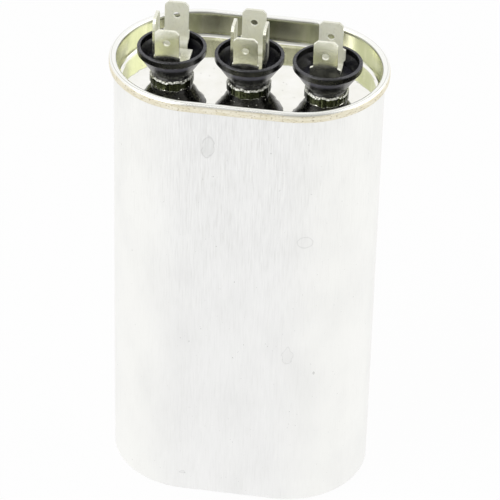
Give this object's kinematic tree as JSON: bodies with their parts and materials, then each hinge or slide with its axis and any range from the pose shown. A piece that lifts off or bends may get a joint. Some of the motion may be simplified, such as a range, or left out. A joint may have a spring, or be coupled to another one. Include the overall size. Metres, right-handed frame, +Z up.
{
  "type": "dual motor run capacitor",
  "caption": "Oval drawn can with a rolled seam and a recessed lid that carries black insulating cups with push-on tabs in pairs.",
  "frame": {"origin": "centre of the flat base the can stands on", "axes": "+Z up along the can to the tab tips, +X along the oval's long axis from the left to the right terminal, +Y across the oval away from the viewer"},
  "size_m": [0.074, 0.0486, 0.1389],
  "materials": {
    "can": "bare drawn aluminium, satin, fine lines along the height",
    "cover": "bright tinned steel, cream at the rolled seam",
    "compound": "matte sealing compound",
    "cup": "satin black moulding compound",
    "tab": "tinned brass strip, polished, slightly dulled",
    "rivet": "tin plated, satin",
    "seal": "matte rubber",
    "bush": "natural moulded plastic",
    "board": "laminated board, matte",
    "lead": "tinned copper strip",
    "insulator": "natural polypropylene",
    "film": "edges of tightly wound metallised film",
    "wrap": "clear film wrap",
    "spray": "rough sprayed zinc"
  },
  "bodies": {
    "root": {"can": "can", "cover": "cover", "seam_compound": "compound", "compressor_cup": "cup", "common_cup": "cup", "fan_cup": "cup", "compressor_wide_tabs": "tab", "compressor_side_tab": "tab", "common_wide_tabs": "tab", "common_side_tabs": "tab", "fan_tabs": "tab", "compressor_rivet": "rivet", "common_rivet": "rivet", "fan_rivet": "rivet", "compressor_seal": "seal", "common_seal": "seal", "fan_seal": "seal", "compressor_bush": "bush", "common_bush": "bush", "fan_bush": "bush", "interrupter_plate": "board", "compressor_lead": "lead", "common_lead": "lead", "fan_lead": "lead", "top_insulator": "insulator", "winding_core": "insulator", "fan_winding": "film", "section_barrier": "insulator", "main_winding": "film", "winding_wrap": "wrap", "compressor_spray": "spray", "fan_spray": "spray", "common_spray": "spray", "bottom_cup": "insulator"}
  },
  "joints": []
}
